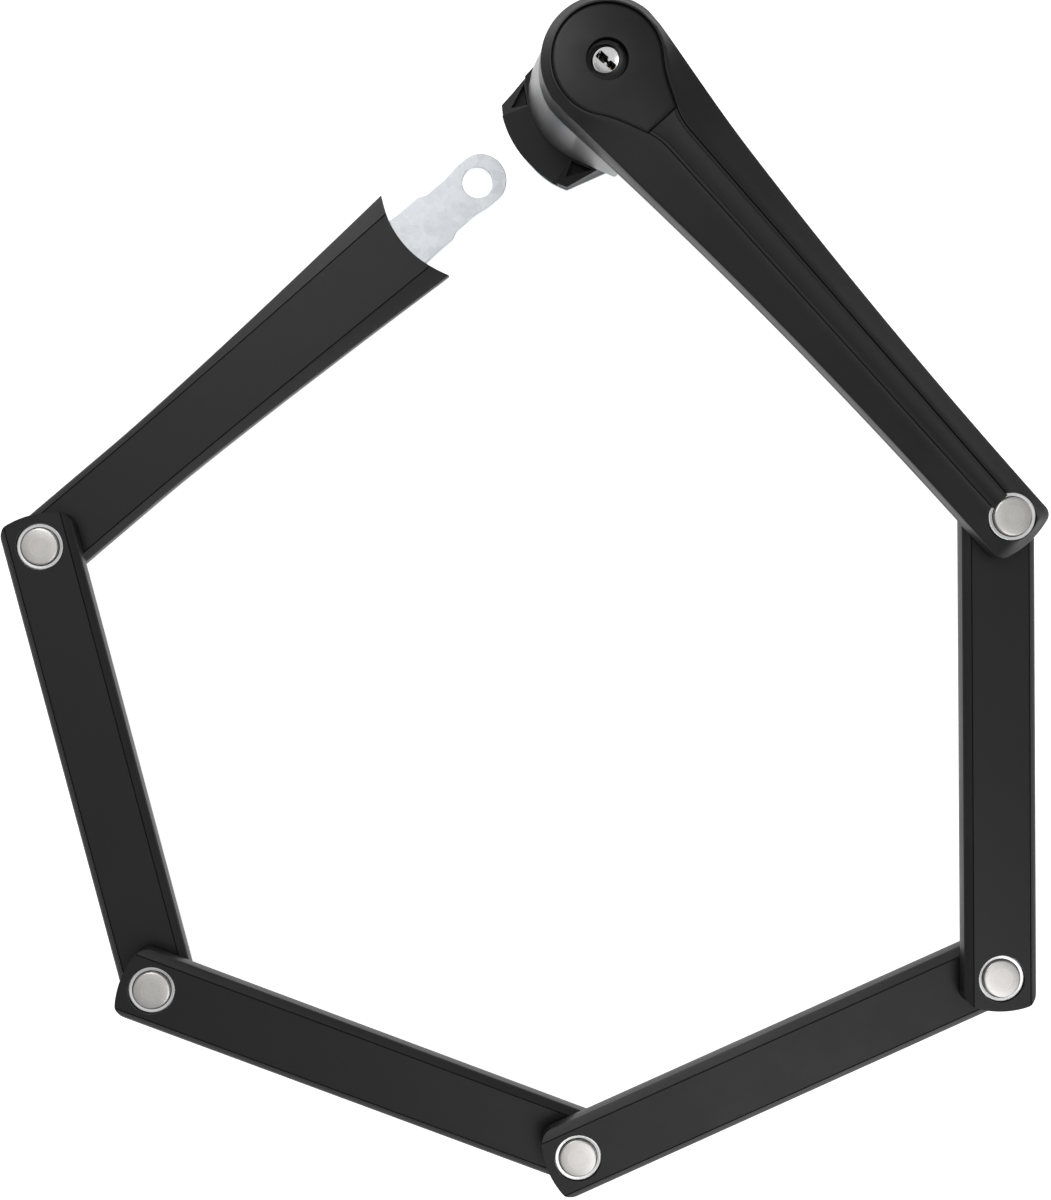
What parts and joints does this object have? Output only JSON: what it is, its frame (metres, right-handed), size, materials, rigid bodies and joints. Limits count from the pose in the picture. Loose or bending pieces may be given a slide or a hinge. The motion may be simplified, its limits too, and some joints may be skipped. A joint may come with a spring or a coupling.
{
  "type": "folding bike lock",
  "caption": "Folding bicycle lock: a keyed lock body and riveted steel links in moulded sleeves, open as a loop, with a steel tongue that enters the head.",
  "frame": {"origin": "on the key axis, at the underside of the head's base plate", "axes": "+X from the key axis to the first rivet, +Z out of the keyhole, the loop on the -Y side"},
  "size_m": [0.352, 0.3529, 0.0516],
  "materials": {
    "cover_nylon": "fine satin texture, black",
    "sleeve_nylon": "fine matte texture, black",
    "guide_nylon": "plain moulded, black",
    "shroud_nylon": "smooth, black",
    "zinc_plated_steel": "bluish zinc plate, mottled",
    "rivet_steel": "turned face, satin",
    "satin_casting": "blasted die casting, satin",
    "chrome": "polished",
    "brass": "plain",
    "spring_steel": "drawn wire"
  },
  "bodies": {
    "lock_body": {"body_cover": "cover_nylon", "face_plate": "cover_nylon", "centre_strip": "cover_nylon", "body_tray": "cover_nylon", "body_bar": "zinc_plated_steel", "rivet_collar": "zinc_plated_steel", "lock_housing": "satin_casting", "tongue_guide": "guide_nylon", "base_plate": "zinc_plated_steel", "base_screw_1": "rivet_steel", "base_screw_2": "rivet_steel", "base_screw_3": "rivet_steel", "base_screw_4": "rivet_steel", "cylinder_shell": "shroud_nylon", "sidebar": "brass", "bolt_spring": "spring_steel", "rivet_1": "rivet_steel", "rivet_ring_1": "zinc_plated_steel", "rivet_spacer_1": "brass"},
    "key_plug": {"cylinder_plug": "chrome", "keyhole_shroud": "shroud_nylon", "detainer_1": "brass", "detainer_2": "brass", "detainer_3": "brass", "detainer_4": "brass", "detainer_5": "brass"},
    "locking_bolt": {"locking_bolt": "rivet_steel"},
    "link_1": {"link_bar_1": "zinc_plated_steel", "link_sleeve_1": "sleeve_nylon", "rivet_2": "rivet_steel", "rivet_ring_2": "zinc_plated_steel", "rivet_spacer_2": "brass"},
    "link_2": {"link_bar_2": "zinc_plated_steel", "link_sleeve_2": "sleeve_nylon", "rivet_3": "rivet_steel", "rivet_ring_3": "zinc_plated_steel", "rivet_spacer_3": "brass"},
    "link_3": {"link_bar_3": "zinc_plated_steel", "link_sleeve_3": "sleeve_nylon", "rivet_4": "rivet_steel", "rivet_ring_4": "zinc_plated_steel", "rivet_spacer_4": "brass"},
    "link_4": {"link_bar_4": "zinc_plated_steel", "link_sleeve_4": "sleeve_nylon", "rivet_5": "rivet_steel", "rivet_ring_5": "zinc_plated_steel", "rivet_spacer_5": "brass"},
    "link_5": {"link_bar_5": "zinc_plated_steel", "link_sleeve_5": "sleeve_nylon"}
  },
  "joints": [
    {"name": "rivet_1_hinge", "type": "hinge", "parent": "lock_body", "child": "link_1", "pos_m": [0.195, 0, 0.035], "axis": [0, 0, 1], "range_deg": [0, 221.9]},
    {"name": "rivet_2_hinge", "type": "hinge", "parent": "link_1", "child": "link_2", "pos_m": [0.30962, -0.10285, 0.0274], "axis": [0, 0, 1], "range_deg": [0, 247.4]},
    {"name": "rivet_3_hinge", "type": "hinge", "parent": "link_2", "child": "link_3", "pos_m": [0.25872, -0.24819, 0.0198], "axis": [0, 0, 1], "range_deg": [0, 224.9]},
    {"name": "rivet_4_hinge", "type": "hinge", "parent": "link_3", "child": "link_4", "pos_m": [0.12008, -0.31522, 0.0122], "axis": [0, 0, 1], "range_deg": [0, 234.1]},
    {"name": "rivet_5_hinge", "type": "hinge", "parent": "link_4", "child": "link_5", "pos_m": [-0.01552, -0.24221, 0.0046], "axis": [0, 0, 1], "range_deg": [-116.2, 243.8]},
    {"name": "key_turn", "type": "hinge", "parent": "lock_body", "child": "key_plug", "pos_m": [0, 0, 0.0486], "axis": [0, 0, 1], "range_deg": [0, 90]},
    {"name": "bolt_throw", "type": "slide", "parent": "lock_body", "child": "locking_bolt", "axis": [0, 0, -1], "range_m": [0, 0.0064], "deforming": ["bolt_spring"]}
  ],
  "couplings": [
    {"joint": "bolt_throw", "follows": "key_turn", "m_per_rad": 0.00407}
  ]
}
